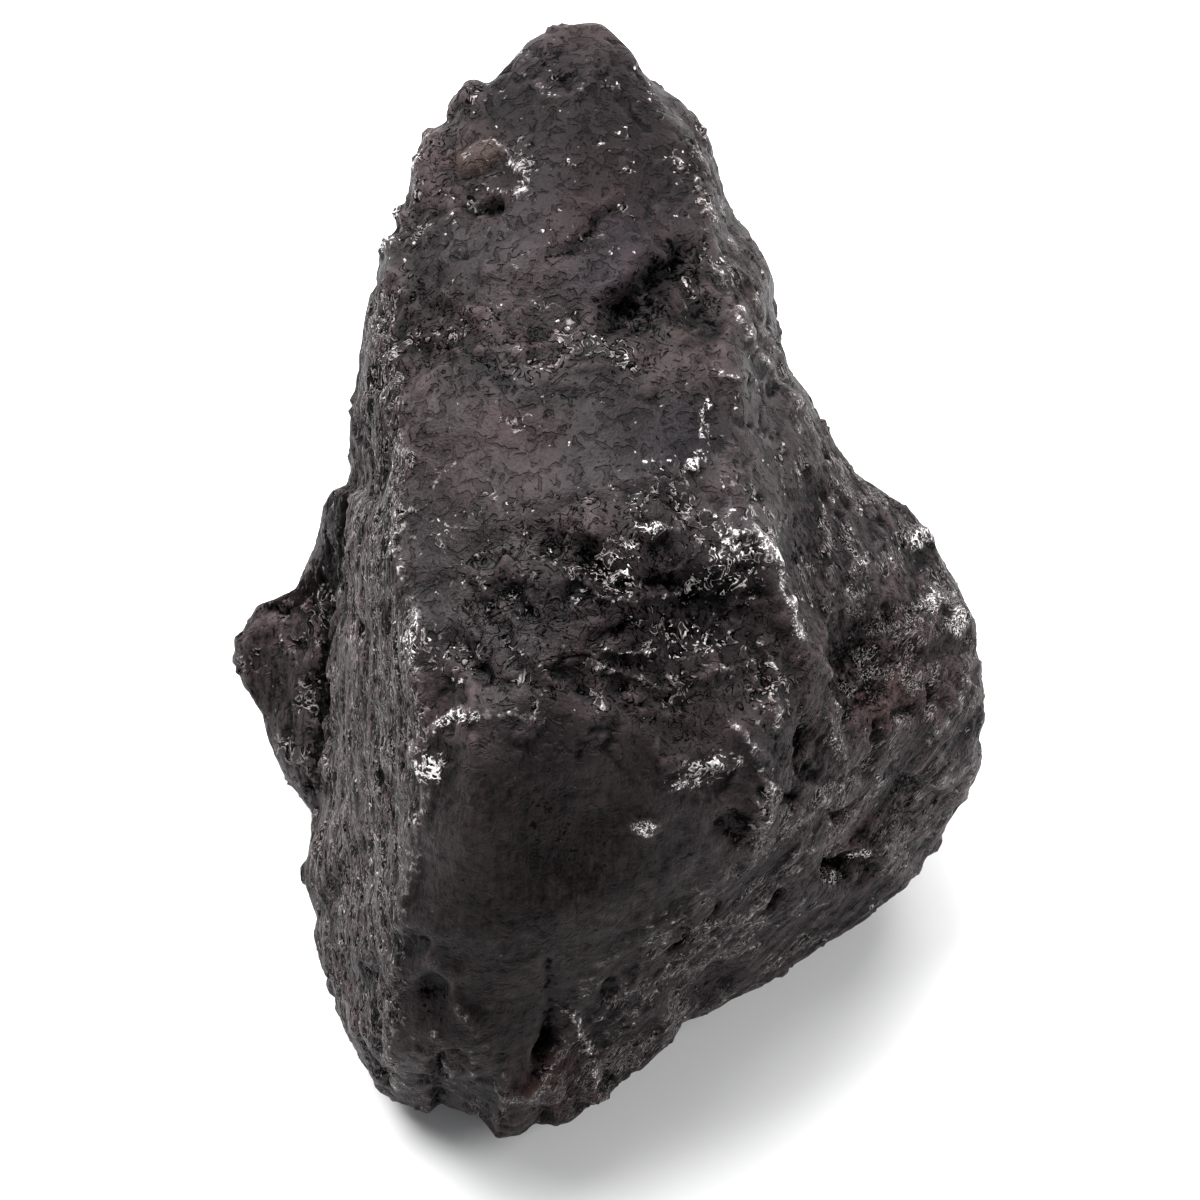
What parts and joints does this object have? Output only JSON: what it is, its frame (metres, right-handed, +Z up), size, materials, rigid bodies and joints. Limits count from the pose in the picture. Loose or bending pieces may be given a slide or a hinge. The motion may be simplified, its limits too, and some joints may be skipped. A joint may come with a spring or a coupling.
{
  "type": "iron meteorite",
  "caption": "Dark, rough iron meteorite: a wedge-shaped lump with a raised tip, a side spur and a flat worn resting face.",
  "frame": {"origin": "on the resting face's plane, under the middle of the stone's bounding box", "axes": "+Y from the blunt near end to the raised tip, +Z up from the resting face, +X to the shoulder's side"},
  "size_m": [0.049, 0.0676, 0.0376],
  "materials": {
    "crust": "dark natural crust, satin with worn bright edges"
  },
  "bodies": {
    "root": {"meteorite": "crust"}
  },
  "joints": []
}
